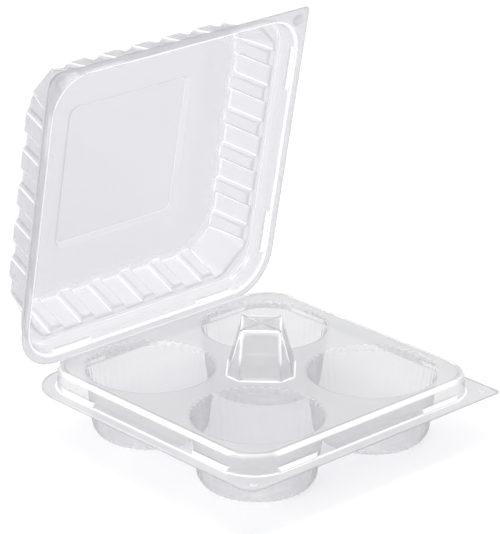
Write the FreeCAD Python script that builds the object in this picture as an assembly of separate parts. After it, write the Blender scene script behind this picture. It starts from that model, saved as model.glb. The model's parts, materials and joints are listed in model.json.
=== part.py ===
import FreeCAD, Part
import math
import os

# Hinged clear clamshell pack for four round bakes, thermoformed from one sheet.
# Millimetres, +Z up. X runs along the hinge, -Y is the front with the pull ears.
# The tray stands on its four cup feet and the lid stands open, as in use on a counter.
# Heights of the tray are counted from the top of its flange, and heights of the
# closed lid from the plane through the crease, both called "level" below.

# Sheet and flange
sheet = 0.4
flange_width = 203.0
flange_length = 200.0
hinge_corner = 29.0
front_corner = 8.0
ear_corner = 3.0

# Hinge strip: each half reaches from its flange to the crease
strip_half_width = 3.8
strip_length = 145.0
crease_radius = 1.0
crease_clearance = 0.3
lid_open_angle = 79.5
flange_gap = 0.5

# Raised rim of the tray: inset from the flange edge and level, from the foot of its wall up
rim_foot_inset = 8.0
rim_wall_inset = 8.6
rim_wall_level = 10.2
rim_shoulder_inset = 9.5
rim_shoulder_level = 12.0
deck_inset = 11.2
deck_level = 12.7
rim_corner = 24.0

# Cups
cup_depth = 40.3
cup_rim_radius = 38.8
cup_foot_radius = 34.4
cup_spacing_x = 93.0
cup_spacing_y = 93.0
flute_count = 48
flute_depth = 1.3
foot_edge_height = 4.0
foot_edge_width = 3.0
foot_flute_depth = 0.5
floor_rise = 1.8
floor_rise_radius = 24.0

# Post between the cups: across = twice the distance from its axis to a wide face
post_height = 29.0
post_foot_across = 39.6
post_top_across = 24.0
post_face_width = 25.0
post_top_face_width = 22.6

# Snap bars on both rims, and the buttons at the two front corners
bar_length = 29.0
bar_offset = 57.5
bar_bottom = 0.4
bar_height = 3.6
bar_bulge = 0.8
bar_root = 2.5
bar_slope_share = 0.5
button_radius = 2.6
button_height = 1.2
button_spread = 0.6
button_draft = 0.8
ear_button_inset = 8.0
front_button_inset_x = 8.6
front_button_inset_y = 6.7

# Rim, wall and panel of the lid
lid_rim_foot_inset = 5.8
lid_rim_wall_inset = 7.2
lid_rim_wall_level = 10.0
lid_shoulder_inset = 8.4
lid_shoulder_level = 12.7
lid_ledge_start_inset = 10.8
lid_ledge_level = 13.6
lid_wall_inset = 11.8
lid_panel_level = 39.0
lid_panel_inset = 17.8
lid_front_lean = 1.4
lid_edge_round = 2.6
lid_edge_share = 0.6
lid_corner_cut = 17.0
lid_corner_round = 7.0
lid_flute_count = 6
lid_flute_pitch = 24.6
lid_flute_width = 12.4
lid_flute_floor = 7.6
lid_flute_depth = 2.6
square_half = 46.4
square_rise = 3.6
square_slope = 2.4
square_corner = 5.0

# Worked out from the sizes above
half_x = flange_width / 2
half_y = flange_length / 2
flange_top = cup_depth + sheet - deck_level
deck_top = flange_top + deck_level
crease_y = half_y + strip_half_width
overrun = 5.0


def soft_polygon(corners, z):
    """Closed wire through (x, y, radius) corners, each rounded by its tangent arc."""
    count = len(corners)
    ends = []
    for k in range(count):
        x, y, radius = corners[k]
        here = FreeCAD.Vector(x, y, z)
        before = FreeCAD.Vector(corners[k - 1][0], corners[k - 1][1], z) - here
        after = FreeCAD.Vector(corners[(k + 1) % count][0], corners[(k + 1) % count][1], z) - here
        before.normalize()
        after.normalize()
        inner_angle = before.getAngle(after)
        reach = radius / math.tan(inner_angle / 2)
        middle = (before + after).normalize()
        sagitta = radius / math.sin(inner_angle / 2) - radius
        ends.append((here + before * reach, here + middle * sagitta, here + after * reach, radius))
    edges = []
    for k in range(count):
        start, middle, end, radius = ends[k]
        if radius > 0:
            edges.append(Part.Arc(start, middle, end).toShape())
        following = ends[(k + 1) % count][0]
        if end.distanceToPoint(following) > 1e-6:
            edges.append(Part.LineSegment(end, following).toShape())
    return Part.Wire(edges)


def rectangle(inset, radius, z):
    """Flange rectangle drawn in by an inset, with one corner radius."""
    x = half_x - inset
    y = half_y - inset
    return soft_polygon([(x, y, radius), (-x, y, radius), (-x, -y, radius), (x, -y, radius)], z)


def flange_outline(z):
    """Outline of either flange: wide corners at the hinge, a small one and a sharp ear in front."""
    return soft_polygon([
        (half_x, half_y, hinge_corner),
        (-half_x, half_y, hinge_corner),
        (-half_x, -half_y, front_corner),
        (half_x, -half_y, ear_corner),
    ], z)


def prism(wire, height):
    """Upright solid on a flat wire."""
    return Part.Face(wire).extrude(FreeCAD.Vector(0, 0, height))


def loft(wires):
    """Straight-sided solid through a stack of wires."""
    return Part.makeLoft(wires, True, True)


def fused(shapes):
    """One solid from overlapping ones."""
    return shapes[0].multiFuse(shapes[1:])


def rim_block(foot_z, insets, levels, lower):
    """Raised block inside a flange, from wall foot to deck, drawn in and lowered by a sheet."""
    wires = [rectangle(insets[0] + lower, rim_corner - lower, foot_z - overrun)]
    for inset, level in zip(insets, levels):
        corner = rim_corner - (inset - insets[0]) - lower
        wires.append(rectangle(inset + lower, corner, foot_z + level - lower))
    return loft(wires)


def bar(lower):
    """Low wedge-ended bar along X that stands out of a wall on the X axis by its bulge."""
    half = bar_length / 2 - lower
    slope = bar_bulge * bar_slope_share
    wires = []
    for level, shrink in ((lower, slope), (slope + lower, 0), (bar_height - slope - lower, 0),
                          (bar_height - lower, slope)):
        out = bar_bulge - lower - shrink
        end = half - shrink
        wires.append(soft_polygon(
            [(end, out, 0), (-end, out, 0), (-end, -bar_root, 0), (end, -bar_root, 0)], level))
    return loft(wires)


def bars(inset, lower, z):
    """Two bars on each side, near the corners of a rim whose wall foot has this inset."""
    solids = []
    for turn, reach in ((0, half_y), (90, half_x), (180, half_y), (270, half_x)):
        for offset in (-bar_offset, bar_offset):
            one = bar(lower)
            one.translate(FreeCAD.Vector(offset, reach - inset, z + bar_bottom))
            one.rotate(FreeCAD.Vector(0, 0, 0), FreeCAD.Vector(0, 0, 1), turn)
            solids.append(one)
    return solids


def buttons(radius, height, z):
    """Cones at the ear and at the small front corner."""
    places = (
        (half_x - ear_button_inset, -half_y + ear_button_inset),
        (-half_x + front_button_inset_x, -half_y + front_button_inset_y),
    )
    solids = []
    for x, y in places:
        solids.append(Part.makeCone(radius, radius - button_draft, height, FreeCAD.Vector(x, y, z)))
    return solids


def pleated_ring(radius, depth, z):
    """Star-shaped wire: each flute is one ridge and one valley of the given depth."""
    points = []
    for k in range(2 * flute_count):
        angle = math.pi * k / flute_count
        reach = radius if k % 2 == 0 else radius - depth
        points.append(FreeCAD.Vector(reach * math.cos(angle), reach * math.sin(angle), z))
    points.append(points[0])
    return Part.makePolygon(points)


def cup(grow):
    """Fluted cup body on the Z axis, with a raised floor; grow = 0 inside, one sheet outside."""
    bottom = sheet - grow
    foot = bottom + foot_edge_height
    body = loft([
        pleated_ring(cup_foot_radius - foot_edge_width + grow, foot_flute_depth, bottom),
        pleated_ring(cup_foot_radius + grow, flute_depth, foot),
        pleated_ring(cup_rim_radius + grow, flute_depth, deck_top),
    ])
    rise = Part.makeCone(
        floor_rise_radius + floor_rise - grow, floor_rise_radius - grow, floor_rise,
        FreeCAD.Vector(0, 0, bottom))
    return body.cut(rise)


def cups(grow):
    """The four cups."""
    solids = []
    for x in (-cup_spacing_x / 2, cup_spacing_x / 2):
        for y in (-cup_spacing_y / 2, cup_spacing_y / 2):
            one = cup(grow)
            one.translate(FreeCAD.Vector(x, y, 0))
            solids.append(one)
    return solids


def post_ring(across, face_width, z):
    """Eight-sided wire whose wide faces look at the cups."""
    distance = across / 2
    points = []
    for k in range(4):
        direction = math.radians(45 + 90 * k)
        for side in (-face_width / 2, face_width / 2):
            x = distance * math.cos(direction) - side * math.sin(direction)
            y = distance * math.sin(direction) + side * math.cos(direction)
            points.append(FreeCAD.Vector(x, y, z))
    points.append(points[0])
    return Part.makePolygon(points)


def post(lower):
    """Tapering hollow post on the deck, drawn in and lowered by a sheet."""
    drop = overrun if lower else sheet / 2
    return loft([
        post_ring(post_foot_across - 2 * lower, post_face_width, deck_top - drop),
        post_ring(post_foot_across - 2 * lower, post_face_width, deck_top),
        post_ring(post_top_across - 2 * lower, post_top_face_width - lower, deck_top + post_height - lower),
    ])


def base_tray():
    """Tray: flange, snap rim, deck, cups, post and its half of the hinge strip."""
    insets = (rim_foot_inset, rim_wall_inset, rim_shoulder_inset, deck_inset)
    levels = (0, rim_wall_level, rim_shoulder_level, deck_level)
    floor_of_flange = flange_top - sheet
    strip = Part.makeBox(
        strip_length, crease_y - crease_radius - crease_clearance, sheet,
        FreeCAD.Vector(-strip_length / 2, 0, floor_of_flange))
    below = Part.makeBox(
        2 * flange_width, 2 * flange_length, 2 * flange_top,
        FreeCAD.Vector(-flange_width, -flange_length, floor_of_flange - 2 * flange_top))
    skin = fused(
        [prism(flange_outline(floor_of_flange), sheet), strip]
        + [rim_block(flange_top, insets, levels, 0).cut(below)]
        + bars(rim_foot_inset, 0, flange_top)
        + buttons(button_radius, button_height, flange_top)
        + [post(0)])
    hollow = fused(
        [rim_block(flange_top, insets, levels, sheet)]
        + bars(rim_foot_inset, sheet, flange_top)
        + [post(sheet)])
    skin = skin.cut([hollow] + buttons(button_radius - sheet, button_height, floor_of_flange))
    return fused([skin] + cups(sheet)).cut(cups(0))


def lid_wall_ring(inset, front_inset, lower, z):
    """Eight-sided outline of the lid's wall, its corners cut across and rounded."""
    x = half_x - inset - lower
    back = half_y - inset - lower
    front = half_y - front_inset - lower
    cut = lid_corner_cut - lower * (2 - math.sqrt(2))
    corner = lid_corner_round - lower
    return soft_polygon([
        (x, back - cut, corner), (x - cut, back, corner),
        (-x + cut, back, corner), (-x, back - cut, corner),
        (-x, -front + cut, corner), (-x + cut, -front, corner),
        (x - cut, -front, corner), (x, -front + cut, corner),
    ], z)


def lid_wall(lower):
    """Upper body of the lid from its ledge to its panel, with a softened top edge."""
    rise = lid_panel_level - lid_ledge_level
    lean = (lid_panel_inset - lid_wall_inset) / rise
    front_lean = lean + lid_front_lean / rise
    near = lid_panel_level - lid_edge_round
    rings = []
    for level in (lid_ledge_level - sheet / 2 - lower, near):
        up = level - lid_ledge_level
        rings.append(lid_wall_ring(lid_wall_inset + lean * up, lid_wall_inset + front_lean * up, lower, level))
    soft = lid_edge_round * lid_edge_share
    rings.append(lid_wall_ring(
        lid_panel_inset + soft, lid_panel_inset + lid_front_lean + soft, lower, lid_panel_level - lower))
    return loft(rings)


def lid_flute(grow):
    """One flute cutter: a wedge-sided groove that leans with the wall, facing -Y."""
    rise = lid_panel_level - lid_ledge_level
    lean = (lid_panel_inset - lid_wall_inset) / rise
    wires = []
    for level in (lid_ledge_level + sheet / 2 - grow, lid_panel_level + overrun):
        offset = lean * (level - lid_ledge_level)
        floor_y = offset + lid_flute_depth + grow
        mouth = lid_flute_width / 2 + grow
        bed = lid_flute_floor / 2 + grow
        splay = (mouth - bed) / (lid_flute_depth + grow)
        outside = mouth + splay * overrun
        wires.append(soft_polygon([
            (-outside, offset - overrun, 0), (outside, offset - overrun, 0),
            (bed, floor_y, 0), (-bed, floor_y, 0),
        ], level))
    return loft(wires)


def lid_flutes(grow):
    """Flutes on all four walls."""
    solids = []
    for turn, depth in ((0, half_y), (90, half_x), (180, half_y), (270, half_x)):
        for k in range(lid_flute_count):
            along = (k - (lid_flute_count - 1) / 2) * lid_flute_pitch
            one = lid_flute(grow)
            one.translate(FreeCAD.Vector(along, -depth + lid_wall_inset, 0))
            if turn == 0:
                one = leaned_flute(one)
            one.rotate(FreeCAD.Vector(0, 0, 0), FreeCAD.Vector(0, 0, 1), turn)
            solids.append(one)
    return solids


def leaned_flute(flute):
    """A front flute tipped back as the front wall is."""
    rise = lid_panel_level - lid_ledge_level
    tip = math.degrees(math.atan(lid_front_lean / rise))
    pivot = FreeCAD.Vector(0, -half_y + lid_wall_inset, lid_ledge_level)
    flute.rotate(pivot, FreeCAD.Vector(1, 0, 0), -tip)
    return flute


def square(lower):
    """Raised square in the middle of the lid's panel."""
    rings = []
    for half, level in (
            (square_half + square_slope, lid_panel_level - sheet / 2 - lower),
            (square_half, lid_panel_level + square_rise - lower)):
        side = half - lower
        corner = square_corner - lower
        rings.append(soft_polygon(
            [(side, side, corner), (-side, side, corner), (-side, -side, corner), (side, -side, corner)], level))
    return loft(rings)


def closed_lid():
    """Lid in its closed place over the tray, with the crease on the X axis at crease_y."""
    insets = (lid_rim_foot_inset, lid_rim_wall_inset, lid_shoulder_inset, lid_ledge_start_inset)
    levels = (0, lid_rim_wall_level, lid_shoulder_level, lid_ledge_level)
    strip = Part.makeBox(
        strip_length, crease_y - crease_radius / 2, sheet, FreeCAD.Vector(-strip_length / 2, 0, flange_gap))
    roll = Part.makeCylinder(
        crease_radius, strip_length, FreeCAD.Vector(-strip_length / 2, crease_y, 0), FreeCAD.Vector(1, 0, 0))
    roll_bore = Part.makeCylinder(
        crease_radius - sheet, strip_length, FreeCAD.Vector(-strip_length / 2, crease_y, 0),
        FreeCAD.Vector(1, 0, 0))
    below = Part.makeBox(
        2 * flange_width, 2 * flange_length, 2 * flange_top,
        FreeCAD.Vector(-flange_width, -flange_length, flange_gap - 2 * flange_top))
    button_inside = button_radius + button_spread
    skin = fused(
        [prism(flange_outline(flange_gap), sheet), strip]
        + [rim_block(0, insets, levels, 0).cut(below)]
        + bars(lid_rim_foot_inset, 0, flange_gap + sheet)
        + buttons(button_inside + sheet, button_height + sheet, flange_gap + sheet)
        + [lid_wall(0).cut(lid_flutes(0)), square(0)])
    hollow = fused(
        [rim_block(0, insets, levels, sheet)]
        + bars(lid_rim_foot_inset, sheet, flange_gap + sheet)
        + [lid_wall(sheet).cut(lid_flutes(sheet)), square(sheet)])
    skin = skin.cut([hollow] + buttons(button_inside, button_height + sheet, flange_gap))
    return skin.fuse(roll).cut(roll_bore).removeSplitter()


def opened(shape, angle):
    """Turns the closed lid about the crease."""
    shape.translate(FreeCAD.Vector(0, 0, flange_top))
    shape.rotate(FreeCAD.Vector(0, crease_y, flange_top), FreeCAD.Vector(1, 0, 0), -angle)
    return shape


tray = base_tray()
lid = opened(closed_lid(), lid_open_angle)

# The pack is moved along Y so that the frame's origin is under the middle of its box.
# The lid's plain box is loose round the opened shape, so its last point is found exactly.
middle_y = (tray.BoundBox.YMin + lid.optimalBoundingBox(False, False).YMax) / 2
os.makedirs("parts", exist_ok=True)
for name, shape in (("base_tray", tray), ("lid", lid)):
    shape.translate(FreeCAD.Vector(0, -middle_y, 0))
    shape.exportStep("parts/" + name + ".step")
    print(name, "solids", len(shape.Solids), "valid", shape.isValid(), "volume", round(shape.Volume, 1))
    print("  box", [round(v, 3) for v in (
        shape.BoundBox.XMin, shape.BoundBox.YMin, shape.BoundBox.ZMin,
        shape.BoundBox.XMax, shape.BoundBox.YMax, shape.BoundBox.ZMax)])
print("crease at y", round(crease_y - middle_y, 4), "z", round(flange_top, 4), "tray middle y", round(-middle_y, 4))
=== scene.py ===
import math
import json

import bpy
import numpy as np
from mathutils import Matrix, Vector


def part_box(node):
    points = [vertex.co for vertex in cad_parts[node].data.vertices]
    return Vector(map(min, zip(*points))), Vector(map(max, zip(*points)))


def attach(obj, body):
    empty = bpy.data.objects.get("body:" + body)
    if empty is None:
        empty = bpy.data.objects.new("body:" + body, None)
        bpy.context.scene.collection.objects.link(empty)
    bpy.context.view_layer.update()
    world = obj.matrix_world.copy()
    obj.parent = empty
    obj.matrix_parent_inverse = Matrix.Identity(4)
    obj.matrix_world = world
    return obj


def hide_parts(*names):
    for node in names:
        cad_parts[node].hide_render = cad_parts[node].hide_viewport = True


bl_info = {
    "name": "Clear clamshell pack",
    "version": (1, 0, 0),
    "blender": (4, 5, 0),
    "location": "View3D > Sidebar > Pack",
    "description": "Dresses the frame of a hinged clear pack for four round bakes",
    "category": "Object",
}

# Everything is in metres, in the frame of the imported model.
# Heights of the tray are counted from the top of its flange, and those of the lid from
# the plane through the crease with the lid closed; both are called level below.
MM = 0.001

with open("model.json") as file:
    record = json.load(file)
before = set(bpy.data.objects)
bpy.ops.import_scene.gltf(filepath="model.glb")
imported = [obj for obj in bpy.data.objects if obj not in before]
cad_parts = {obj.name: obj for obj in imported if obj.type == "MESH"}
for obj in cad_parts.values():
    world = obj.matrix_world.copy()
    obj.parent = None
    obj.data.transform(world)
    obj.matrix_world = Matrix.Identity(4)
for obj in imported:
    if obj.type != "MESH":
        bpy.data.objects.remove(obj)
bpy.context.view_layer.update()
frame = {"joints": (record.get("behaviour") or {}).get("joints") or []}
TRAY_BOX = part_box("base_tray")
HINGE = frame["joints"][0]
CREASE_Y = HINGE["pos_m"][1]
FLANGE_TOP = HINGE["pos_m"][2]
OPEN_ANGLE = -math.radians(HINGE["range_deg"][0])
HALF_X = (TRAY_BOX[1].x - TRAY_BOX[0].x) / 2
HALF_Y = 100 * MM
TRAY_MIDDLE_Y = TRAY_BOX[0].y + HALF_Y


def length(name, description, default):
    """A size in metres that a user may change."""
    return bpy.props.FloatProperty(
        name=name, description=description, default=default, unit="LENGTH", precision=5)


def colour(name, description, default):
    """A colour as an sRGB hex value."""
    return bpy.props.StringProperty(name=name, description=description, default=default)


class PackTraySizes(bpy.types.PropertyGroup):
    sheet: length("Sheet", "Thickness of the formed sheet", 0.4 * MM)
    rim_rise: length("Rim level", "Top of the snap rim above the flange", 12.9 * MM)
    deck_level: length("Deck level", "Deck above the flange", 12.5 * MM)
    cup_rim_radius: length("Cup rim radius", "Inside radius of a cup at the deck", 38.8 * MM)
    cup_foot_radius: length("Cup foot radius", "Inside radius of a cup above its foot", 34.4 * MM)
    cup_spacing: length("Cup spacing", "Distance between the axes of two cups", 93 * MM)
    flute_depth: length("Flute depth", "Depth of the flutes in a cup's wall", 1.3 * MM)
    post_height: length("Post height", "Top of the post above the flange", 41.7 * MM)
    bar_bulge: length("Snap bar bulge", "How far a snap bar stands out of the rim", 0.8 * MM)


class PackLidSizes(bpy.types.PropertyGroup):
    panel_level: length("Panel level", "Top panel of the lid above the crease", 39 * MM)
    flute_depth: length("Flute depth", "Depth of the flutes in the lid's wall", 2.6 * MM)
    flute_pitch: length("Flute pitch", "Distance from one wall flute to the next", 24.6 * MM)
    square_half: length("Square half width", "Half the side of the raised square", 46.4 * MM)
    square_rise: length("Square rise", "Height of the raised square", 3.6 * MM)


class PackFinish(bpy.types.PropertyGroup):
    tray_tint: colour("Tray tint", "What one face of the tray's sheet lets through", "#fefefe")
    lid_tint: colour("Lid tint", "What one face of the lid's sheet lets through", "#fdfdfe")
    edge_tint: colour("Edge tint", "What the sheet lets through when seen edge-on", "#f8f8fa")
    milk: colour("Milk", "Light scattered in the tray's sheet", "#ececed")
    lid_milk: colour("Lid milk", "Light scattered in the lid's sheet", "#e3e2e6")


class PackStage(bpy.types.PropertyGroup):
    camera_distance: length("Camera distance", "From the camera to its target", 1707.2 * MM)
    camera_lens: bpy.props.FloatProperty(
        name="Lens", description="Focal length on a 36 mm sensor", default=197.7)
    azimuth: bpy.props.FloatProperty(
        name="Azimuth", description="Where the camera stands round the pack",
        default=math.radians(-43.125), subtype="ANGLE")
    elevation: bpy.props.FloatProperty(
        name="Elevation", description="Camera above the horizon",
        default=math.radians(21.862), subtype="ANGLE")
    roll: bpy.props.FloatProperty(
        name="Roll", description="Turn of the camera about its own axis",
        default=math.radians(0.411), subtype="ANGLE")
    target: bpy.props.FloatVectorProperty(
        name="Target", description="Point that the camera looks at",
        default=(-9.58 * MM, TRAY_MIDDLE_Y, FLANGE_TOP + 79.74 * MM), subtype="TRANSLATION")


# Nodes from the middle of a side to the middle of its corner
HALF_SIDE_NODES = 49
# Nodes round a cup, four to a flute
CUP_NODES = 192
# Directions along and out of the front, right, back and left sides
SIDE_ALONG = np.array([(1, 0), (0, 1), (-1, 0), (0, -1)], float)
SIDE_OUT = np.array([(0, -1), (1, 0), (0, 1), (-1, 0)], float)
# What a plain round corner cuts off each side, as a share of its radius
ROUND = 2 - math.sqrt(2)
# Share of a straight run that one rounded bend may take, and the least turn that is rounded
MOST_REACH = 0.46
LEAST_TURN = 1e-4
# Samples of half a side that lengths are read from, and of the part of it beyond the fixed nodes
SIDE_SAMPLES = 1500
CORNER_SAMPLES = 400
# The fixed nodes take at most this share of half a side
FIXED_MOST = 0.93
# A radian of bend gets as many more nodes as this much straight side has
BEND_PULL = 9 * MM
# A bend of this radius counts as a full fold, and an edge shorter than this as this long
FOLD = 1.5 * MM
SHORTEST_EDGE = 0.35 * MM
# Nodes in one cell of this size are joined
WELD = 2e-3 * MM


def smooth(t):
    """Smooth step: 3t^2 - 2t^3 with t held between 0 and 1."""
    t = np.clip(t, 0, 1)
    return t * t * (3 - 2 * t)


def filleted(points, radii, steps=5, splits=None):
    """Polyline with each bend rounded by a parabola, which starts r tan(turn / 2) before it.

    splits says into how many parts the straight run after a corner is cut. Returns the points
    and where each lies on the polyline, counted in corners from its start.
    """
    points = np.array(points, float)
    made = [points[:1]]
    where = [np.zeros(1)]
    last = len(points) - 1
    for k in range(1, last):
        before = points[k - 1] - points[k]
        after = points[k + 1] - points[k]
        reach_before = np.linalg.norm(before)
        reach_after = np.linalg.norm(after)
        before = before / reach_before
        after = after / reach_after
        turn = math.pi - math.acos(np.clip(before @ after, -1, 1))
        radius = radii[k]
        if radius <= 0 or turn < LEAST_TURN:
            made.append(points[k:k + 1])
            where.append(np.array([float(k)]))
            continue
        most = MOST_REACH * min(reach_before, reach_after)
        reach = min(radius * math.tan(turn / 2), most)
        t = np.linspace(0, 1, steps + 1)[:, None]
        # A quadratic through both tangent points, with the bend as its control point.
        start = points[k] + before * reach
        end = points[k] + after * reach
        made.append((1 - t) ** 2 * start + 2 * t * (1 - t) * points[k] + t ** 2 * end)
        low = k - reach / reach_before
        high = k + reach / reach_after
        twice = 2 * t[:, 0]
        where.append(np.where(twice < 1, low + (k - low) * twice, k + (high - k) * (twice - 1)))
    made.append(points[-1:])
    where.append(np.array([float(last)]))
    made = np.concatenate(made)
    where = np.concatenate(where)
    if splits:
        extra = []
        for k, count in splits.items():
            inside = where[(where >= k) & (where <= k + 1)]
            low = inside[inside < k + 0.5].max()
            high = inside[inside > k + 0.5].min()
            extra.append(np.linspace(low, high, count + 1)[1:-1])
        extra = np.concatenate(extra)
        more = np.stack([np.interp(extra, where, made[:, j]) for j in range(made.shape[1])], 1)
        made = np.concatenate([made, more])
        where = np.concatenate([where, extra])
        order = np.argsort(where, kind="stable")
        made = made[order]
        where = where[order]
    return made, where


def half_side(along, out, cut, radius, fixed, corner_nodes):
    """From the middle of a side to the middle of its corner, as (distance along, distance out).

    The corner is cut across by `cut` and its two bends are rounded by `radius`; a plain round
    corner of radius r is the case cut = (2 - sqrt 2) r. The first nodes stand at the fixed
    distances, and the others share the rest of the way, closer together on the bends.
    """
    reach = radius * math.tan(math.pi / 8)
    straight = along - cut - reach
    arc = radius * math.pi / 4
    slant = max(cut / math.sqrt(2) - reach, 0)

    def place(s):
        """Node at the length s along the outline: straight, then an arc, then at 45 degrees."""
        turn = np.clip((s - straight) / radius, 0, math.pi / 4)
        rest = np.clip(s - straight - arc, 0, None) / math.sqrt(2)
        a = np.minimum(s, straight) + radius * np.sin(turn) + rest
        b = out - radius * (1 - np.cos(turn)) - rest
        return a, b

    total = straight + arc + slant
    s = np.linspace(0, total, SIDE_SAMPLES)
    a, b = place(s)
    fixed = fixed * min(1, FIXED_MOST * a[-1] / fixed[-1])
    start = np.interp(fixed[-1], a, s)
    way = np.linspace(start, total, CORNER_SAMPLES)
    on_bend = (way > straight) & (way < straight + arc)
    weight = np.cumsum(1 + np.where(on_bend, BEND_PULL / radius, 0))
    weight = (weight - weight[0]) / (weight[-1] - weight[0])
    nodes = np.interp(np.linspace(0, 1, corner_nodes + 1), weight, way)
    s = np.concatenate([np.interp(fixed, a, s), nodes[1:]])
    return place(s)


def ring(out, cuts, radii, fixed, corner_nodes, dent=None):
    """One closed row of nodes round the pack: out is each side's distance from the middle.

    The sides are front, right, back and left, and corner k lies between sides k and k + 1.
    dent moves each node inwards by a function of its distance along the side, and the moves
    are returned with the row.
    """
    row = []
    moves = []
    for k in range(4):
        halves = []
        for corner, neighbour in ((k - 1, k - 1), (k, (k + 1) % 4)):
            halves.append(half_side(out[neighbour], out[k], cuts[corner], radii[corner],
                                    fixed, corner_nodes))
        (a_before, b_before), (a_after, b_after) = halves
        a = np.concatenate([-a_before[:0:-1], a_after])
        b = np.concatenate([b_before[:0:-1], b_after])
        move = dent(np.abs(a)) if dent is not None else np.zeros(len(a))
        moves.append(move[:-1])
        a = a[:-1]
        b = (b - move)[:-1]
        row.append(a[:, None] * SIDE_ALONG[k] + b[:, None] * SIDE_OUT[k])
    return np.concatenate(row), np.concatenate(moves)


def grid_faces(rows, columns, closed, first=0):
    """Quads of a grid whose vertices are numbered row by row."""
    r = np.arange(rows - 1)[:, None]
    c = np.arange(columns if closed else columns - 1)[None, :]
    after = (c + 1) % columns
    a = first + r * columns + c
    b = first + r * columns + after
    return np.stack([a, b, b + columns, a + columns], -1).reshape(-1, 4)


def folds(mesh, points):
    """Bend at each node in units of 1 / FOLD: along an edge e from a node with normal n it is
    -2 (e . n) / (e . e), and the node takes the sum of its highest and its lowest bend, so a
    convex fold comes out positive and a concave one negative."""
    normals = np.empty(len(points) * 3, np.float32)
    mesh.vertex_normals.foreach_get("vector", normals)
    normals = normals.reshape(-1, 3)
    ends = np.empty(len(mesh.edges) * 2, np.int32)
    mesh.edges.foreach_get("vertices", ends)
    start, end = ends.reshape(-1, 2).T
    step = points[end] - points[start]
    square = np.maximum((step * step).sum(1), SHORTEST_EDGE ** 2)
    high = np.zeros(len(points))
    low = np.zeros(len(points))
    for node, way in ((start, step), (end, -step)):
        bend = -2 * (way * normals[node]).sum(1) / square
        np.maximum.at(high, node, bend)
        np.minimum.at(low, node, bend)
    return (high + low) * FOLD


class Sheet:
    """Collects grids, joins the nodes that meet, and makes one mesh of them."""

    def __init__(self):
        self.points = []
        self.films = []
        self.painted_fold_weights = []
        self.painted_glows = []
        self.faces = []
        self.count = 0

    def grid(self, points, film, closed=False, flip=False, weight=1.0, glow=0.0):
        """Adds rows x columns x 3 nodes; flip turns its faces over. film is the sheet's thickness
        in each row, as a share of the undrawn sheet's, weight is how strongly a fold in that row
        gets painted highlight or painted shade, and glow is painted light added at each node."""
        rows, columns = points.shape[:2]
        for kept, value in ((self.films, film), (self.painted_fold_weights, weight)):
            value = np.broadcast_to(np.asarray(value, float).reshape(-1, 1), (rows, columns))
            kept.append(value.reshape(-1))
        self.painted_glows.append(np.broadcast_to(glow, (rows, columns)).reshape(-1))
        faces = grid_faces(rows, columns, closed, self.count)
        self.faces.append(faces[:, ::-1] if flip else faces)
        self.points.append(points.reshape(-1, 3))
        self.count += rows * columns

    def mesh(self, name):
        """Joins the nodes that share a cell of WELD, so that a quad with two of its corners there
        becomes a triangle. The film and the folds' painted highlight and painted shade are kept as
        values of each node."""
        points = np.concatenate(self.points)
        films = np.concatenate(self.films)
        faces = np.concatenate(self.faces)
        keys = np.round(points / WELD).astype(np.int64)
        _, first, inverse = np.unique(keys, axis=0, return_index=True, return_inverse=True)
        faces = inverse.reshape(-1)[faces]
        same = faces == np.roll(faces, -1, axis=1)
        whole = faces[~same.any(1)]
        folded = faces[same.sum(1) == 1]
        keep = ~same[same.sum(1) == 1]
        triangles = folded[keep].reshape(-1, 3)
        made = bpy.data.meshes.new(name)
        made.from_pydata(points[first].tolist(), [], whole.tolist() + triangles.tolist())
        film = made.attributes.new("film", "FLOAT", "POINT")
        film.data.foreach_set("value", films[first].astype(np.float32))
        made.validate()
        made.shade_smooth()
        fold = made.attributes.new("fold", "FLOAT", "POINT")
        # Bend times the row's weight, plus the painted glow: painted highlight where positive,
        # painted shade where negative
        bend = folds(made, points[first])
        bend = bend * np.concatenate(self.painted_fold_weights)[first] + np.concatenate(self.painted_glows)[first]
        fold.data.foreach_set("value", bend.astype(np.float32))
        return made


def finished(name, mesh, body, nodes, materials, sheet):
    """Makes the object, gives the sheet its thickness, and hangs it on its body."""
    piece = bpy.data.objects.new(name, mesh)
    bpy.context.scene.collection.objects.link(piece)
    for material in materials:
        piece.data.materials.append(material)
    wall = piece.modifiers.new("sheet", "SOLIDIFY")
    wall.thickness = sheet
    wall.offset = -1
    wall.use_rim = True
    wall.material_offset_rim = 1
    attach(piece, body)
    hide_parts(*nodes)
    return piece


def rim_rows(profile, radii, per_row, fixed, corner_nodes, steps, splits, dents):
    """Rings along a rounded profile of (inset, level): per_row gives each ring's four sides and
    its corners, and dents what moves its nodes."""
    points, where = filleted(profile, radii, steps, splits)
    rows = []
    moves = []
    for (inset, level), place in zip(points, where):
        out, cuts, bends = per_row(inset, place)
        xy, move = ring(out, cuts, bends, fixed, corner_nodes, dents(level, place))
        rows.append(np.concatenate([xy, np.full((len(xy), 1), level)], 1))
        moves.append(move)
    return np.array(rows), where, np.array(moves)


# Middles of the right and the left corner button, from the middle of the flange
BUTTONS = ((HALF_X - 8 * MM, 8 * MM - HALF_Y), (8.6 * MM - HALF_X, 6.7 * MM - HALF_Y))
BUTTON_NODES = 24
BUTTON_BEND = 0.5 * MM
BUTTON_SINK = 0.15 * MM


def button(centre, foot, radius, height, level):
    """Corner button: circles along the profile of a low dome, from the middle of its top to its
    foot, which is sunk in the flange."""
    profile = [(0, height), (radius, height), (foot, -BUTTON_SINK)]
    points, _ = filleted(profile, [0, BUTTON_BEND, 0], 4, {0: 2, 1: 2})
    angle = np.linspace(0, 2 * math.pi, BUTTON_NODES + 1)[:-1]
    x = centre[0] + points[:, :1] * np.cos(angle)
    y = centre[1] + points[:, :1] * np.sin(angle)
    return np.stack([x, y, np.broadcast_to(points[:, 1:2] + level, x.shape)], -1)


# Radii of the flange's corners, from the front right one round to the front left one
FLANGE_CORNERS = (3 * MM, 29 * MM, 29 * MM, 8 * MM)
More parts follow.
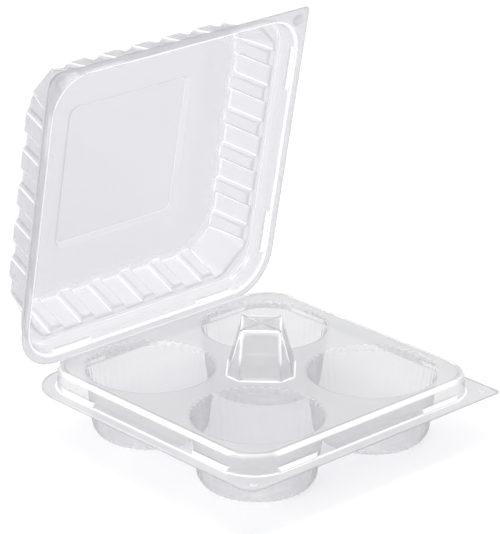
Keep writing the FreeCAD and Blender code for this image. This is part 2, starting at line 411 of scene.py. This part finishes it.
# Snap bars: half length, middle from the middle of a side, levels above the rim's foot, and
# half of the way in which their long edges and their ends fade out
BAR_HALF = 14.5 * MM
BAR_OFFSET = 57.5 * MM
BAR_LOW = 0.4 * MM
BAR_HIGH = 4 * MM
BAR_EDGE = 0.3 * MM
BAR_END = 0.8 * MM
LID_BAR_BULGE = 0.8 * MM
# Painted highlight of the snap bars on the tray and on the lid, added to the painted light of the
# folds
BAR_PAINTED_GLOW = 1.2
LID_BAR_PAINTED_GLOW = 0.9
# Place and radius of the tray's rim
RIM_INSET = 8 * MM
RIM_CORNER = 24 * MM
# Where the painted highlight on the shoulder starts to fade towards a corner, in what length, and
# by how much
PAINTED_SHINE_END = 68 * MM
PAINTED_SHINE_FADE = 9 * MM
PAINTED_SHINE_LOSS = 0.72
# Half length of the hinge strip, its tray end's distance from the crease, and the roll's radius
STRIP_HALF = 72.5 * MM
STRIP_GAP = 1.1 * MM
ROLL = 0.95 * MM
# Lid flutes on half a side, the pitch that their nodes are drawn for, how far a flute reaches
# from its middle, the width of its side, and the level where it starts and how fast it rises
HALF_SIDE_FLUTES = 3
DRAWN_PITCH = 24.6 * MM
FLUTE_REACH = 6.3 * MM
FLUTE_SIDE = 2.6 * MM
FLUTE_FOOT = 13.4 * MM
FLUTE_RISE = 1.2 * MM
# Nodes on a wide face of the post and on half of a narrow one, and how far a wide face is hollow
POST_WIDE_NODES = 13
POST_NARROW_NODES = 3
POST_HOLLOW = 0.6 * MM


def bar_bulge(bulge, level, foot):
    """Snap bar: a bulge of the rim's wall, the product of a smooth step at each of its edges."""
    low = smooth((level - foot - BAR_LOW + BAR_EDGE) / (2 * BAR_EDGE))
    high = smooth((foot + BAR_HIGH + BAR_EDGE - level) / (2 * BAR_EDGE))

    def dent(a):
        """Move of the node at the distance a along the side."""
        ends = smooth((BAR_HALF + BAR_END - np.abs(a - BAR_OFFSET)) / (2 * BAR_END))
        return -bulge * low * high * ends
    return dent


def post_ring(distance, width, radius, z):
    """One quarter turn of the eight-sided post, from the middle of one narrow face to the next."""
    half = width / 2
    root = math.sqrt(0.5)
    vertex = np.array([(distance + half) * root, (distance - half) * root])
    narrow = vertex[1]
    reach = radius * math.tan(math.pi / 8)
    sag = radius / math.cos(math.pi / 8) - radius
    inward = -np.array([math.cos(math.pi / 8), math.sin(math.pi / 8)])
    y = np.linspace(0, narrow - reach, POST_NARROW_NODES)
    first = np.stack([np.full(POST_NARROW_NODES, vertex[0]), y], 1)
    bend = (vertex + inward * sag)[None]
    along = np.array([-root, root])
    t = np.linspace(reach, width - reach, POST_WIDE_NODES)[:, None]
    wide = vertex + along * t
    mirror = np.concatenate([first, bend])[::-1, ::-1]
    quarter = np.concatenate([first, bend, wide, mirror])
    return np.concatenate([quarter, np.full((len(quarter), 1), z)], 1)


def turned(points, quarter):
    """Points turned about Z by whole quarter turns."""
    c, s = ((1, 0), (0, 1), (-1, 0), (0, -1))[quarter % 4]
    x = points[..., 0] * c - points[..., 1] * s
    y = points[..., 0] * s + points[..., 1] * c
    return np.stack([x, y, points[..., 2]], -1)


def hinge_strip(fixed, y, z):
    """A row along X through each pair of y and z, on the nodes that the back side has there."""
    x = np.concatenate([-fixed[:0:-1], fixed])
    x = x[np.abs(x) < STRIP_HALF]
    return np.stack(np.broadcast_arrays(-x[None, :], y[:, None], z[:, None]), -1)


def tray_sheet(sizes):
    """The whole tray: flange and rim as rings, four cups as polar grids that reach out over the
    deck to the rim and the post, the post as rings, and its half of the hinge strip."""
    sheet = Sheet()
    crest = sizes.rim_rise
    deck = sizes.deck_level
    # Flange and rim: distance in from the flange's edge, and level
    profile = [(0, 0), (RIM_INSET, 0), (8.6 * MM, 10.2 * MM), (9.5 * MM, 12.2 * MM),
               (10.6 * MM, crest), (12.0 * MM, crest), (12.8 * MM, deck), (13.3 * MM, deck)]
    bends = np.array([0, 1.1, 2.4, 1.6, 0.8, 0.5, 0.4, 0]) * MM
    # A node every 2 mm, as far as the corners
    fixed = np.linspace(0, 74, 38) * MM

    def per_row(inset, place):
        """Sides of the ring at an inset, with corners that blend from the flange's to the rim's."""
        near = np.clip(place, 0, 1)
        rim = RIM_CORNER - np.clip(inset - RIM_INSET, 0, None)
        radii = [corner * (1 - near) + rim * near for corner in FLANGE_CORNERS]
        return ((HALF_Y - inset, HALF_X - inset) * 2, [ROUND * r for r in radii], radii)

    def dents(level, place):
        """The snap bars stand out of the rim's outer wall, between corners 1 and 2."""
        return bar_bulge(sizes.bar_bulge, level, 0) if 0.95 < place < 2 else None

    corner_nodes = HALF_SIDE_NODES - len(fixed) + 1
    rows, where, moves = rim_rows(profile, bends, per_row, fixed, corner_nodes, 4,
                                  {0: 3, 1: 14}, dents)
    # Thickness of the film, and how strongly its folds get painted highlight or painted shade (a
    # negative weight swaps them), at places counted in corners of the profile
    film = np.interp(where, [0, 0.9, 1, 2, 5, 7], [2.1, 2.1, 0.8, 0.8, 1.0, 1.6])
    weight = np.where(where < 1.1, -0.7, 1.0)
    # Painted highlight on the shoulder, less of it on the corners, and painted shade at the foot of
    # the deck's step
    painted_shoulder_light = np.interp(where, [1.9, 2.3, 3.7, 4.2, 5.3, 6, 6.6, 7],
                         [0, 0.9, 0.9, 0, 0, -1, -1, 0])[:, None]
    near_corner = smooth((np.abs(rows[..., :2]).min(-1) - PAINTED_SHINE_END) / PAINTED_SHINE_FADE)
    # The snap bars get a painted highlight where they stand out of the rim
    glow = np.clip(-moves / sizes.bar_bulge, 0, 1) * BAR_PAINTED_GLOW
    glow = glow + painted_shoulder_light * (1 - PAINTED_SHINE_LOSS * near_corner * (painted_shoulder_light > 0))
    sheet.grid(rows, film, closed=True, weight=weight, glow=glow)
    edge = rows[-1]
    per_quarter = 2 * HALF_SIDE_NODES

    # Post: rings from the deck up to its top, and in to the middle of the top. The profile is
    # that of a wide face, and each ring has its own width of face and softness of corner.
    top = sizes.post_height
    profile = [(21.6 * MM, deck), (19.8 * MM, deck), (12.0 * MM, top), (9.5 * MM, top), (0, top)]
    points, where = filleted(profile, [0, 1.0 * MM, 1.3 * MM, 0, 0], 5, {1: 6, 3: 4})
    widths = np.interp(where, range(5), np.array([25.9, 25, 22.6, 17.6, 0]) * MM)
    soft = np.interp(where, range(5), np.array([2.2, 1.8, 1.8, 1.4, 0]) * MM)
    quarters = []
    for (distance, z), width, radius in zip(points, widths, soft):
        quarters.append(post_ring(distance, width, radius, z))
    quarters = np.array(quarters)
    up = np.clip(where - 1, 0, 1)[:, None]
    across = (np.arange(quarters.shape[1]) - POST_NARROW_NODES) / (POST_WIDE_NODES + 1)
    across = np.clip(across, 0, 1)[None, :]
    hollow = np.sin(up * math.pi) * np.sin(across * math.pi) ** 2 * POST_HOLLOW
    quarters[..., 0] -= hollow * math.sqrt(0.5)
    quarters[..., 1] -= hollow * math.sqrt(0.5)
    film = np.interp(where, [0, 1, 2, 4], [1.6, 1.1, 0.9, 0.9])
    # How strongly the post's folds get painted highlight or painted shade; the negative weight at
    # the foot swaps them
    weight = np.interp(where, [0, 1.3, 1.35, 2.4, 2.5], [-1.1, -1.1, 1.3, 1.3, 0.4])
    for k in range(4):
        sheet.grid(turned(quarters, k), film, weight=weight)

    # Cups: radius and level along the wall, from the middle of the floor to the deck. The
    # floor's upper face is the thickness of the sheet above the ground.
    floor = 0.4 * MM - FLANGE_TOP
    rise = floor + 1.8 * MM
    foot = sizes.cup_foot_radius
    rim = sizes.cup_rim_radius
    profile = [(0, rise), (23.6 * MM, rise), (25.8 * MM, floor), (foot - 3 * MM, floor),
               (foot, floor + 4 * MM), (rim, deck), (rim + 1.25 * MM, deck)]
    bends = np.array([0, 1.5, 1.2, 1.5, 4, 1.2, 0]) * MM
    points, where = filleted(profile, bends, 3, {0: 3, 4: 5})
    # The flutes start at the foot, and end just under the deck
    depth = np.interp(where, [0, 2, 3, 3.5, 4, 4.92, 5.02, 6], [0, 0, 0.35, 0.8, 1, 1, 0, 0])
    depth = depth * sizes.flute_depth
    index = np.arange(CUP_NODES)
    flute = (1 - np.cos(index * math.pi / 2)) / 2
    # Rows of the deck, as shares of the way from the cup out to the rim and the post
    share = np.array([0.12, 0.34, 0.66, 1])[:, None, None]
    film = np.interp(where, [0, 3, 4, 5, 6], [1.1, 1.0, 0.8, 0.9, 1.5])
    film = np.concatenate([film, np.full(len(share), 1.6)])
    # How strongly the cup's folds get painted highlight or painted shade
    weight = np.interp(where, [0, 4.75, 4.9, 5.02, 5.1, 6], [0.3, 0.2, 0.05, 0.12, 0.25, 0.2])
    weight = np.concatenate([weight, np.full(len(share), 0.3)])
    for k in range(4):
        corner = math.pi / 4 + (k - 1) * math.pi / 2
        angle = corner + (index - HALF_SIDE_NODES) * 2 * math.pi / CUP_NODES
        centre = np.array([math.cos(corner), math.sin(corner)]) * sizes.cup_spacing / math.sqrt(2)
        radius = points[:, :1] - depth[:, None] * flute[None, :]
        wall = np.stack([
            centre[0] + radius * np.cos(angle), centre[1] + radius * np.sin(angle),
            np.broadcast_to(points[:, 1:2], radius.shape)], -1)
        start = k * per_quarter + HALF_SIDE_NODES
        outer = edge[(start + np.arange(per_quarter + 1)) % len(edge)]
        post = turned(quarters[0], k - 1)
        # The two deck edges that this cup shares with its neighbours take the nodes that are left
        to_post = np.linspace(0, 1, (CUP_NODES - per_quarter - len(post) + 1) // 2 + 1)[:, None]
        first = outer[-1] * (1 - to_post) + post[-1] * to_post
        last = post[0] * (1 - to_post) + outer[0] * to_post
        boundary = np.concatenate([outer[:-1], first[:-1], post[::-1][:-1], last[:-1]])
        reach = wall[-1][None] * (1 - share) + boundary[None] * share
        sheet.grid(np.concatenate([wall, reach]), film, closed=True, flip=True, weight=weight)

    # Hinge strip, from the flange's back edge to just before the crease
    y = np.linspace(HALF_Y, CREASE_Y - TRAY_MIDDLE_Y - STRIP_GAP, 3)
    sheet.grid(hinge_strip(fixed, y, np.zeros(3)), 1.0, flip=True)
    for centre in BUTTONS:
        dome = button(centre, foot=2.6 * MM, radius=1.8 * MM, height=1.2 * MM, level=0)
        sheet.grid(dome, 0.7, closed=True, flip=True)
    for points in sheet.points:
        points[:, 1] += TRAY_MIDDLE_Y
        points[:, 2] += FLANGE_TOP
    return sheet


def lid_sheet(sizes):
    """The whole lid, worked out closed and then opened: flange, rim, ledge, fluted wall, panel
    and raised square as rings, the square's top as a grid, and the strip with its rolled crease."""
    sheet = Sheet()
    base = 0.9 * MM
    panel = sizes.panel_level
    top = panel + sizes.square_rise
    half = sizes.square_half
    # Flange, rim, ledge, wall, panel and square: distance in from the flange's edge, and level
    profile = [(0, base), (5.8 * MM, base), (7.2 * MM, 10.0 * MM), (8.4 * MM, 12.7 * MM),
               (9.9 * MM, 13.6 * MM), (11.8 * MM, 13.6 * MM), (17.8 * MM, panel),
               (26 * MM, panel), (HALF_X - half - 2.4 * MM, panel), (HALF_X - half, top),
               (HALF_X - half + 4 * MM, top)]
    bends = np.array([0, 1.2, 1.6, 1.4, 1.2, 1.0, 2.4, 0, 1.2, 1.2, 0]) * MM
    # Nodes along one pitch, closer together on the two sides of its flute
    period = np.array([0, 2.8, 5.3, 6.1, 7.3, 8.5, 9.3,
                       12.3, 15.3, 16.1, 17.3, 18.5, 19.3, 21.8]) * MM
    period = period * (sizes.flute_pitch / DRAWN_PITCH)
    fixed = np.concatenate([period + k * sizes.flute_pitch for k in range(HALF_SIDE_FLUTES)])[:-1]
    # At each corner of the profile: the cut and the bends of the pack's corners, how much further
    # in the front side stands, and how far front and back move to make the square a true one
    places = np.arange(len(profile))
    cut_of = np.array([0, 14.06, 13.24, 12.54, 11.66, 17, 17, 17, 4, 2.93, 2.0]) * MM
    bend_of = np.array([0, 24, 22.6, 21.4, 19.9, 7, 7, 7, 6, 5, 3.4]) * MM
    lean = np.array([0, 0, 0, 0, 0, 0, 1.4, 1.4, 0, 0, 0]) * MM
    square_shift = np.array([0, 0, 0, 0, 0, 0, 0, 0, 1, 1, 1]) * (HALF_X - HALF_Y)

    def per_row(inset, place):
        """Sides and corners of the ring at an inset, from the tables above."""
        near = np.clip(place, 0, 1)
        cut = np.interp(place, places, cut_of)
        bend = np.interp(place, places, bend_of)
        if place < 1:
            radii = [corner * (1 - near) + bend_of[1] * near for corner in FLANGE_CORNERS]
            cuts = [ROUND * r for r in radii]
        else:
            radii = [bend] * 4
            cuts = [cut] * 4
        shift = np.interp(place, places, square_shift)
        front = HALF_Y - inset + shift - np.interp(place, places, lean)
        back = HALF_Y - inset + shift
        side = HALF_X - inset
        return ((front, side, back, side), cuts, radii)

    def flute_dent(amount):
        """Flutes as a smooth step on each side of the middle of each pitch."""
        def dent(a):
            nearest = (np.floor(a / sizes.flute_pitch) + 0.5) * sizes.flute_pitch
            across = np.abs(a - nearest)
            live = a < HALF_SIDE_FLUTES * sizes.flute_pitch
            across = smooth((FLUTE_REACH - across) / FLUTE_SIDE)
            return amount * sizes.flute_depth * across * live
        return dent

    def dents(level, place):
        """Snap bars on the rim, and flutes that rise from the ledge and run out on the panel."""
        if 0.95 < place < 2:
            return bar_bulge(LID_BAR_BULGE, level, base)
        if 5 <= place < 8:
            rise = smooth((level - FLUTE_FOOT) / FLUTE_RISE)
            return flute_dent(rise * (1 - smooth((place - 6.3) / 0.7)))
        return None

    corner_nodes = HALF_SIDE_NODES - len(fixed) + 1
    rows, where, moves = rim_rows(profile, bends, per_row, fixed, corner_nodes, 4,
                                  {0: 3, 1: 12, 5: 7, 6: 3, 7: 4}, dents)
    film = np.interp(where, [0, 1, 2, 5, 6, 7, 10], [1, 0.8, 0.7, 0.7, 0.65, 0.8, 0.85])
    # How strongly the lid's folds get painted highlight or painted shade; a negative weight swaps
    # them
    weight = np.interp(where, [0, 1.2, 1.5, 4.8, 5.2, 7, 8, 10],
                       [-0.8, -0.8, 1.2, 1.2, 0.65, 0.8, 0.35, 0.35])
    # The lid's snap bars get a painted highlight where they stand out of the rim
    glow = np.clip(-moves / LID_BAR_BULGE, 0, 1) * LID_BAR_PAINTED_GLOW
    sheet.grid(rows, film, closed=True, weight=weight, glow=glow)

    # Top of the raised square: a Coons patch between the four sides of the last ring, which is
    # the sum of the blends between opposite sides less the blend between the four corners
    last = rows[-1]
    n = 2 * HALF_SIDE_NODES
    front, right, back, left = (last[(k * n + np.arange(n + 1)) % len(last)] for k in range(4))
    back = back[::-1]
    left = left[::-1]
    u = np.linspace(0, 1, n + 1)[None, :, None]
    v = np.linspace(0, 1, n + 1)[:, None, None]
    patch = ((1 - v) * front[None] + v * back[None] + (1 - u) * left[:, None] + u * right[:, None]
             - (1 - u) * (1 - v) * front[0] - u * (1 - v) * front[-1]
             - (1 - u) * v * back[0] - u * v * back[-1])
    sheet.grid(patch, 0.85)

    # Hinge strip and the roll round the crease, an arc of five eighths of a turn
    crease = CREASE_Y - TRAY_MIDDLE_Y
    turn = np.linspace(math.pi / 2, -math.pi * 0.75, 12)
    y = np.concatenate([[HALF_Y, (HALF_Y + crease) / 2], crease + ROLL * np.cos(turn)])
    z = np.concatenate([[base, base], ROLL * np.sin(turn)])
    sheet.grid(hinge_strip(fixed, y, z), 1.0, flip=True)
    for centre in BUTTONS:
        dome = button(centre, foot=3.6 * MM, radius=2.6 * MM, height=1.6 * MM, level=base)
        # The lid's buttons get a painted highlight, and a negative weight swaps the painted light
        # of their folds
        sheet.grid(dome, 0.5, closed=True, flip=True, weight=-0.3, glow=0.3)

    # The closed lid is turned open about the crease
    c = math.cos(OPEN_ANGLE)
    s = math.sin(OPEN_ANGLE)
    for points in sheet.points:
        y = points[:, 1] - crease
        z = points[:, 2].copy()
        points[:, 1] = CREASE_Y + y * c + z * s
        points[:, 2] = FLANGE_TOP - y * s + z * c
    return sheet


# Haze is the share of light that a sheet scatters where it isn't drawn thinner, and shade is
# what the sheet lets through to what stands in its shadow
TRAY_HAZE, TRAY_SHADE = 0.33, "#e2e2e5"
LID_HAZE, LID_SHADE = 0.42, "#fafafb"
CUT_HAZE, CUT_TINT, CUT_EDGE_TINT = 0.3, "#c8c8cc", "#909094"
# Painted light on folds: where it starts to show, how much of the film it hides, the white and the
# glow of the painted highlight on convex folds, and the tint of the painted shade on concave ones
PAINTED_FOLD_START = 0.25
PAINTED_HIGHLIGHT_MOST, PAINTED_HIGHLIGHT_WHITE, PAINTED_HIGHLIGHT_GLOW = 0.85, "#fdfdfd", 0.19
PAINTED_SHADE_MOST, PAINTED_SHADE_TINT = 0.22, "#b4b4b8"
# Waves of the formed film, in waves to the metre: about 25 mm and 6 mm long
BROAD_WAVES, FINE_WAVES, FINE_SHARE = 40.0, 160.0, 0.2
WAVE_STRENGTH, WAVE_HEIGHT = 0.35, 0.6 * MM
# Share of light that PET, with an index of 1.57, mirrors when it is seen square-on
SQUARE_ON = 0.049
PAPER, PAPER_LIFT = "#f0f0f0", 0.14


def linear(hex_value):
    """sRGB hex to linear RGBA: c / 12.92 up to 0.04045, and ((c + 0.055) / 1.055) ^ 2.4 above."""
    channels = [int(hex_value[i:i + 2], 16) / 255 for i in (1, 3, 5)]
    return [c / 12.92 if c <= 0.04045 else ((c + 0.055) / 1.055) ** 2.4 for c in channels] + [1.0]


def add(tree, kind, sockets=None, **settings):
    """Adds a node. settings are its properties, or its sockets by name, and sockets are given by
    name or number, each with a value, a node or another node's output."""
    made = tree.nodes.new(kind)
    for key, value in settings.items():
        if hasattr(made, key):
            setattr(made, key, value)
        else:
            made.inputs[key.replace("_", " ")].default_value = value
    for key, source in (sockets or {}).items():
        if isinstance(source, bpy.types.Node):
            tree.links.new(source.outputs[0], made.inputs[key])
        elif isinstance(source, bpy.types.NodeSocket):
            tree.links.new(source, made.inputs[key])
        else:
            made.inputs[key].default_value = source
    return made


def clear_pet(name, tint, edge_tint, milk, haze, shade_tint):
    """Clear PET film, thermoformed over a mould: glossy on both faces, faintly wavy and a little
    milky. It is clearest where the mould has drawn it thin, and greyer where it is seen edge-on.
    Its folds are given a painted highlight or a painted shade."""
    material = bpy.data.materials.new(name)
    material.use_nodes = True
    tree = material.node_tree
    tree.nodes.clear()
    place = add(tree, "ShaderNodeTexCoord").outputs["Object"]
    film = add(tree, "ShaderNodeAttribute", attribute_name="film").outputs["Fac"]
    broad = add(tree, "ShaderNodeTexNoise", {"Vector": place}, Scale=BROAD_WAVES, Detail=1.0)
    fine = add(tree, "ShaderNodeTexNoise", {"Vector": place}, Scale=FINE_WAVES, Detail=2.0)
    waves = add(tree, "ShaderNodeMath",
                {0: fine.outputs["Fac"], 1: FINE_SHARE, 2: broad.outputs["Fac"]},
                operation="MULTIPLY_ADD")
    bump = add(tree, "ShaderNodeBump", {"Height": waves},
               Strength=WAVE_STRENGTH, Distance=WAVE_HEIGHT)
    facing = add(tree, "ShaderNodeLayerWeight", {"Normal": bump}, Blend=0.5).outputs["Facing"]
    # Schlick's share of mirrored light: F + (1 - F) times the fifth power of 1 - cos
    steep = add(tree, "ShaderNodeMath", {0: facing, 1: 5.0}, operation="POWER")
    mirrored = add(tree, "ShaderNodeMath", {0: steep, 1: 1 - SQUARE_ON, 2: SQUARE_ON},
                   operation="MULTIPLY_ADD")
    longer = add(tree, "ShaderNodeMath", {0: facing, 1: 4.0}, operation="POWER")
    through = add(tree, "ShaderNodeMix", {0: longer, 6: linear(tint), 7: linear(edge_tint)},
                  data_type="RGBA")
    clear = add(tree, "ShaderNodeBsdfTransparent", {"Color": through.outputs[2]})
    front = add(tree, "ShaderNodeBsdfDiffuse", Color=linear(milk))
    back = add(tree, "ShaderNodeBsdfTranslucent", Color=linear(milk))
    milky = add(tree, "ShaderNodeMixShader", {1: front, 2: back})
    share = add(tree, "ShaderNodeMath", {0: film, 1: haze}, operation="MULTIPLY")
    hazy = add(tree, "ShaderNodeMixShader", {0: share, 1: clear, 2: milky})
    # Painted light: a convex fold is painted white and given its own glow as a painted highlight,
    # and a concave one is painted as a darker see-through tint, a painted shade
    fold = add(tree, "ShaderNodeAttribute", attribute_name="fold").outputs["Fac"]
    painted_highlight_share = add(tree, "ShaderNodeMapRange",
                 {"Value": fold, "From Min": PAINTED_FOLD_START, "To Max": PAINTED_HIGHLIGHT_MOST})
    painted_shade_share = add(tree, "ShaderNodeMapRange",
                  {"Value": fold, "From Min": -PAINTED_FOLD_START, "From Max": -1.0,
                   "To Max": PAINTED_SHADE_MOST})
    lit = add(tree, "ShaderNodeBsdfDiffuse", Color=linear(PAINTED_HIGHLIGHT_WHITE))
    lit_through = add(tree, "ShaderNodeBsdfTranslucent", Color=linear(PAINTED_HIGHLIGHT_WHITE))
    soft = add(tree, "ShaderNodeMixShader", {1: lit, 2: lit_through})
    # The painted highlight glows with its own emission, though it is no lamp
    painted_glow_emission = add(tree, "ShaderNodeEmission", Strength=PAINTED_HIGHLIGHT_GLOW)
    painted_highlight = add(tree, "ShaderNodeAddShader", {0: soft, 1: painted_glow_emission})
    painted_shade = add(tree, "ShaderNodeBsdfTransparent", Color=linear(PAINTED_SHADE_TINT))
    with_painted_highlight = add(tree, "ShaderNodeMixShader", {0: painted_highlight_share, 1: hazy, 2: painted_highlight})
    inside = add(tree, "ShaderNodeMixShader", {0: painted_shade_share, 1: with_painted_highlight, 2: painted_shade})
    gloss = add(tree, "ShaderNodeBsdfAnisotropic", {"Normal": bump}, Roughness=0.1)
    body = add(tree, "ShaderNodeMixShader", {0: mirrored, 1: inside, 2: gloss})
    # What the sheet shades is lit as through clear film, with no sparkle
    shadow = add(tree, "ShaderNodeLightPath").outputs["Is Shadow Ray"]
    shade = add(tree, "ShaderNodeBsdfTransparent", Color=linear(shade_tint))
    whole = add(tree, "ShaderNodeMixShader", {0: shadow, 1: body, 2: shade})
    add(tree, "ShaderNodeOutputMaterial", {"Surface": whole})
    return material


def sheet_materials(half, tint, edge_tint, milk, haze, shade_tint):
    """The film of one half of the pack and its cut edge, which is greyer."""
    film = clear_pet("clear_pet_film_" + half, tint, edge_tint, milk, haze, shade_tint)
    cut = clear_pet("clear_pet_cut_edge_" + half, CUT_TINT, CUT_EDGE_TINT, milk, CUT_HAZE,
                    shade_tint)
    return [film, cut]


def white_floor():
    """Matt paper sweep: white to the camera, but it keeps the pack's shadow."""
    material = bpy.data.materials.new("paper_sweep")
    material.use_nodes = True
    tree = material.node_tree
    tree.nodes.clear()
    path = add(tree, "ShaderNodeLightPath").outputs
    seen = add(tree, "ShaderNodeMath", {0: path["Is Camera Ray"], 1: path["Is Glossy Ray"]},
               operation="MAXIMUM")
    seen = add(tree, "ShaderNodeMath", {0: seen, 1: path["Is Transmission Ray"]},
               operation="MAXIMUM")
    lift = add(tree, "ShaderNodeMath", {0: seen, 1: PAPER_LIFT}, operation="MULTIPLY")
    glow = add(tree, "ShaderNodeEmission", {"Strength": lift})
    paper = add(tree, "ShaderNodeBsdfDiffuse", Color=linear(PAPER))
    both = add(tree, "ShaderNodeAddShader", {0: paper, 1: glow})
    add(tree, "ShaderNodeOutputMaterial", {"Surface": both})
    return material


class PACK_OT_tray(bpy.types.Operator):
    """Builds the tray's formed sheet"""

    bl_idname = "pack.tray"
    bl_label = "Tray"

    def execute(self, context):
        sizes = context.scene.pack_tray
        finish = context.scene.pack_finish
        materials = sheet_materials("tray", finish.tray_tint, finish.edge_tint, finish.milk,
                                    TRAY_HAZE, TRAY_SHADE)
        finished("tray_sheet", tray_sheet(sizes).mesh("tray_sheet"), "tray", ["base_tray"],
                 materials, sizes.sheet)
        return {"FINISHED"}


class PACK_OT_lid(bpy.types.Operator):
    """Builds the lid's formed sheet"""

    bl_idname = "pack.lid"
    bl_label = "Lid"

    def execute(self, context):
        sizes = context.scene.pack_lid
        finish = context.scene.pack_finish
        materials = sheet_materials("lid", finish.lid_tint, finish.edge_tint, finish.lid_milk,
                                    LID_HAZE, LID_SHADE)
        finished("lid_sheet", lid_sheet(sizes).mesh("lid_sheet"), "lid", ["lid"],
                 materials, context.scene.pack_tray.sheet)
        return {"FINISHED"}


FLOOR_HALF = 4.0
FLOOR_NODES = 9
# Name, place, aim, size and power in watts of each lamp
LAMPS = (
    ("overhead_softbox", (0, -0.1, 1.6), (0, -0.02, 0), (0.7, 0.7), 4.5),
    ("key_softbox", (-1.5, -0.3, 0.8), (0, 0, 0.1), (0.9, 0.9), 6),
    ("back_strip", (0.1, 1.1, 1.15), (0, 0, 0.05), (1.3, 0.18), 4.5),
    ("right_strip", (1.1, 0.1, 1.25), (0, 0, 0.05), (0.18, 1.3), 4.5),
)
# Light of the room, and the share of white that shiny faces see in its place
ROOM = (0.6, 0.6, 0.6, 1)
WHITE = (1, 1, 1, 1)
MIRRORED_WHITE = 0.65


def lamp(name, place, aim, size, power):
    """A soft rectangular lamp that looks from its place to its aim."""
    light = bpy.data.lights.new(name, "AREA")
    light.shape = "RECTANGLE"
    light.size, light.size_y = size
    light.energy = power
    holder = bpy.data.objects.new(name, light)
    bpy.context.scene.collection.objects.link(holder)
    direction = Vector(aim) - Vector(place)
    holder.location = place
    holder.rotation_mode = "QUATERNION"
    holder.rotation_quaternion = direction.to_track_quat("-Z", "Y")
    return holder


class PACK_OT_stage(bpy.types.Operator):
    """Builds the floor, the lamps, the world and the camera"""

    bl_idname = "pack.stage"
    bl_label = "Stage"

    def execute(self, context):
        stage = context.scene.pack_stage
        scene = context.scene
        u = np.linspace(-FLOOR_HALF, FLOOR_HALF, FLOOR_NODES)
        x, y = np.meshgrid(u, u)
        points = np.stack([x, y, np.zeros_like(x)], -1)
        faces = grid_faces(FLOOR_NODES, FLOOR_NODES, False)
        mesh = bpy.data.meshes.new("floor")
        mesh.from_pydata(points.reshape(-1, 3).tolist(), [], faces.tolist())
        mesh.materials.append(white_floor())
        floor = bpy.data.objects.new("floor", mesh)
        scene.collection.objects.link(floor)

        for name, place, aim, size, power in LAMPS:
            lamp(name, place, aim, size, power)

        world = bpy.data.worlds.new("studio")
        scene.world = world
        world.use_nodes = True
        tree = world.node_tree
        tree.nodes.clear()
        path = add(tree, "ShaderNodeLightPath").outputs
        room = add(tree, "ShaderNodeBackground", Color=ROOM, Strength=1.0)
        white = add(tree, "ShaderNodeBackground", Color=WHITE, Strength=1.0)
        mirror = add(tree, "ShaderNodeMath", {0: path["Is Glossy Ray"], 1: MIRRORED_WHITE},
                     operation="MULTIPLY")
        seen = add(tree, "ShaderNodeMath", {0: path["Is Camera Ray"], 1: mirror},
                   operation="MAXIMUM")
        both = add(tree, "ShaderNodeMixShader", {0: seen, 1: room, 2: white})
        add(tree, "ShaderNodeOutputWorld", {"Surface": both})

        camera = bpy.data.cameras.new("camera")
        camera.lens = stage.camera_lens
        camera.sensor_width = 36
        camera.clip_end = 100
        holder = bpy.data.objects.new("camera", camera)
        scene.collection.objects.link(holder)
        # The camera's axes, with its back turned away from the target, and then its roll
        a, e, r = stage.azimuth, stage.elevation, stage.roll
        back = Vector((math.sin(a) * math.cos(e), -math.cos(a) * math.cos(e), math.sin(e)))
        right = Vector((math.cos(a), math.sin(a), 0))
        up = back.cross(right)
        turned_right = right * math.cos(r) + up * math.sin(r)
        turned_up = up * math.cos(r) - right * math.sin(r)
        turn = Matrix((turned_right, turned_up, back)).transposed()
        holder.rotation_mode = "QUATERNION"
        holder.rotation_quaternion = turn.to_quaternion()
        holder.location = Vector(stage.target) + back * stage.camera_distance
        scene.camera = holder

        scene.view_settings.view_transform = "Standard"
        # A ray may cross a good many sheets before it leaves the pack
        scene.cycles.transparent_max_bounces = 48
        return {"FINISHED"}


class PACK_PT_panel(bpy.types.Panel):
    """Lists the sizes and finishes, and the operators that build the pack from them"""

    bl_idname = "PACK_PT_panel"
    bl_label = "Clear clamshell pack"
    bl_space_type = "VIEW_3D"
    bl_region_type = "UI"
    bl_category = "Pack"

    def draw(self, context):
        for group in (context.scene.pack_tray, context.scene.pack_lid, context.scene.pack_finish,
                      context.scene.pack_stage):
            box = self.layout.box()
            for key in type(group).__annotations__:
                box.prop(group, key)
        for operator in (PACK_OT_tray, PACK_OT_lid, PACK_OT_stage):
            self.layout.operator(operator.bl_idname)


CLASSES = (PackTraySizes, PackLidSizes, PackFinish, PackStage,
           PACK_OT_tray, PACK_OT_lid, PACK_OT_stage, PACK_PT_panel)


def register():
    for one in CLASSES:
        bpy.utils.register_class(one)
    bpy.types.Scene.pack_tray = bpy.props.PointerProperty(type=PackTraySizes)
    bpy.types.Scene.pack_lid = bpy.props.PointerProperty(type=PackLidSizes)
    bpy.types.Scene.pack_finish = bpy.props.PointerProperty(type=PackFinish)
    bpy.types.Scene.pack_stage = bpy.props.PointerProperty(type=PackStage)


def unregister():
    del bpy.types.Scene.pack_stage
    del bpy.types.Scene.pack_finish
    del bpy.types.Scene.pack_lid
    del bpy.types.Scene.pack_tray
    for one in reversed(CLASSES):
        bpy.utils.unregister_class(one)


def main():
    register()
    bpy.ops.pack.tray()
    bpy.ops.pack.lid()
    bpy.ops.pack.stage()


if __name__ == "__main__":
    main()
